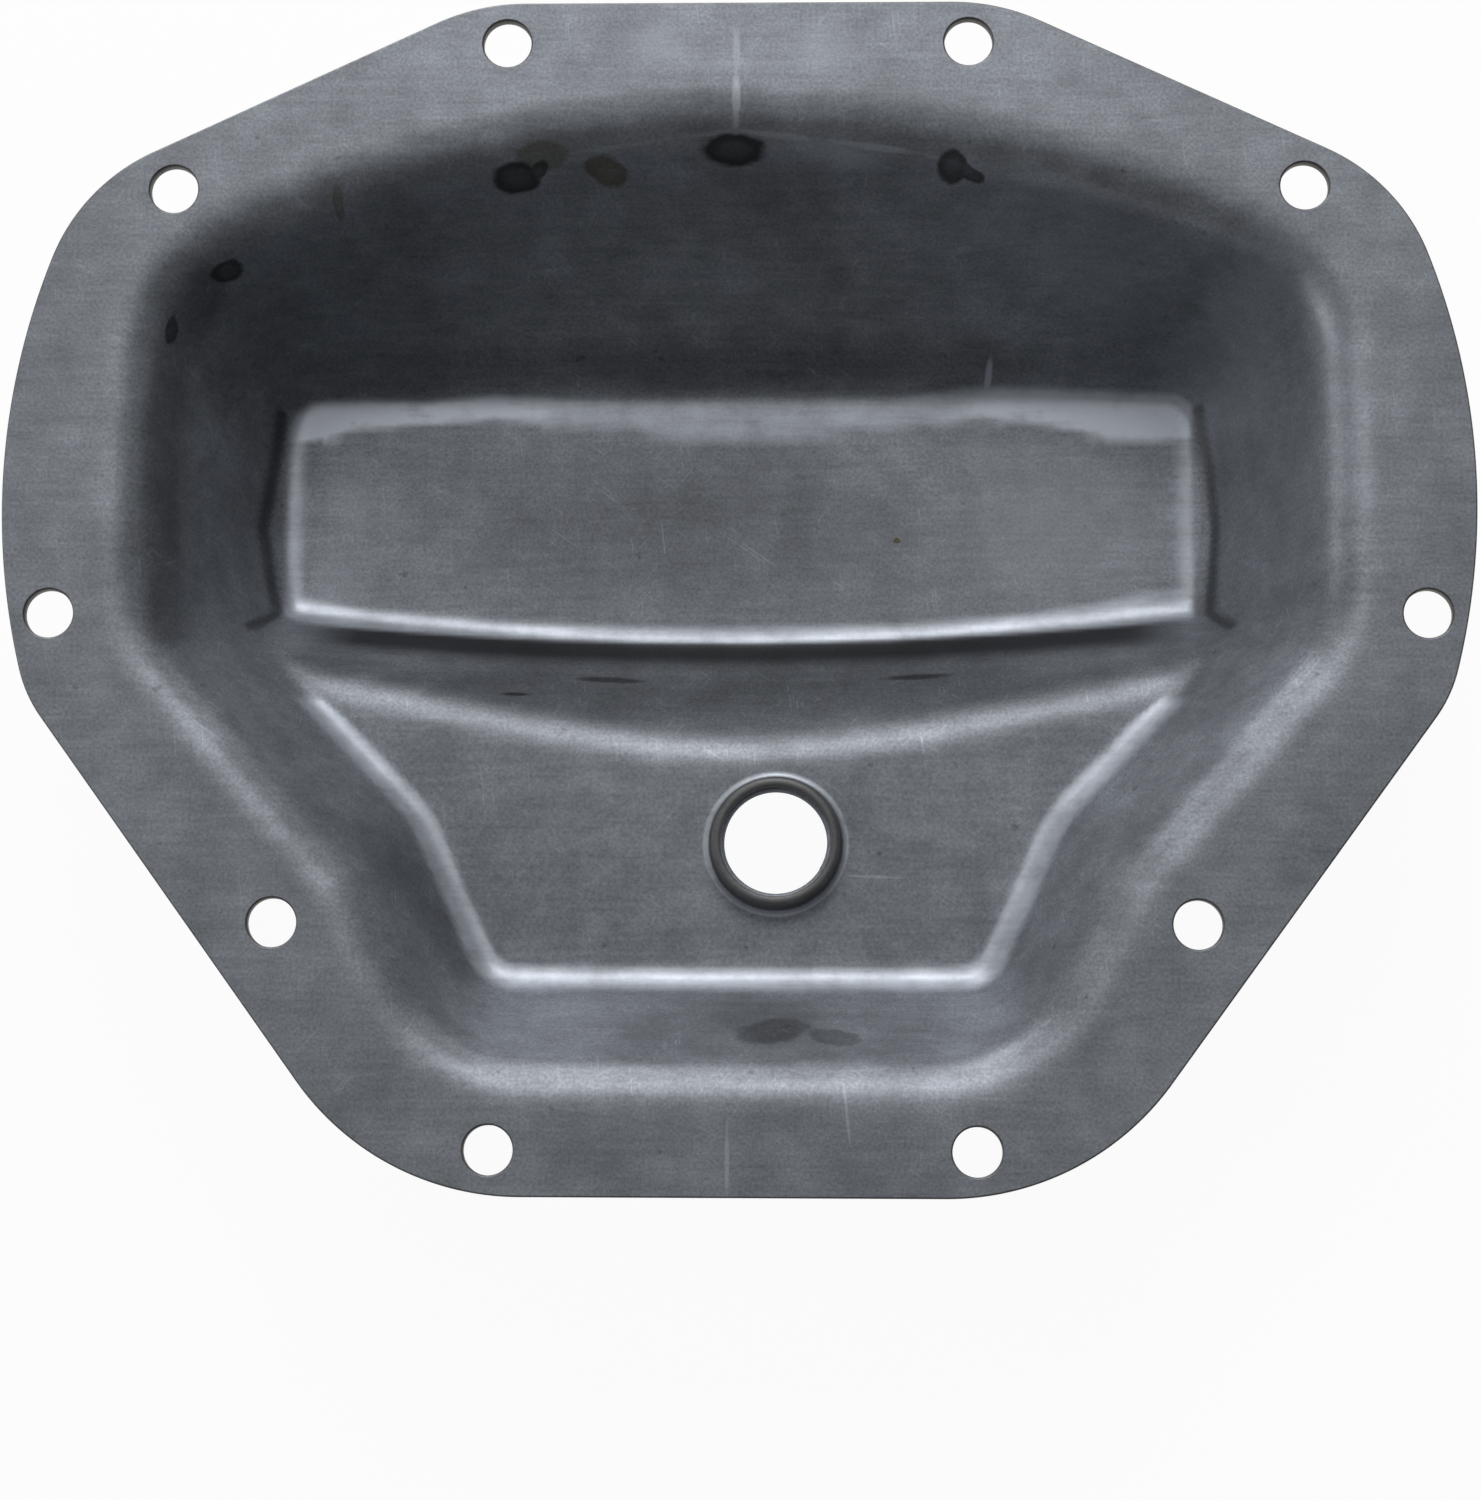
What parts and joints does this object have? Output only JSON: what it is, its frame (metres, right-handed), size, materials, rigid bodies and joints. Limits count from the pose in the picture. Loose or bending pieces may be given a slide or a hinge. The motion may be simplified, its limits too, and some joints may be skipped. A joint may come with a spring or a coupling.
{
  "type": "differential cover",
  "caption": "Pressed steel cover that closes the back of a truck's differential housing, with a flanged rim, a stepped bowl over the ring gear and a tapped filler hole",
  "frame": {"origin": "Midway between the two side bolt holes, on the gasket face", "axes": "+Z points out of the open side, square to the gasket face; +X runs along the axle, across the longest way; +Y points to the cover's top as it is bolted on. The cover lies with its open side up, on the back of its deep pad"},
  "size_m": [0.3348, 0.2744, 0.0652],
  "materials": {
    "bare_steel": "bare pressed sheet steel, dark grey, lightly oiled, with burnished bands on its bends"
  },
  "bodies": {
    "root": {"cover_pan": "bare_steel"}
  },
  "joints": []
}
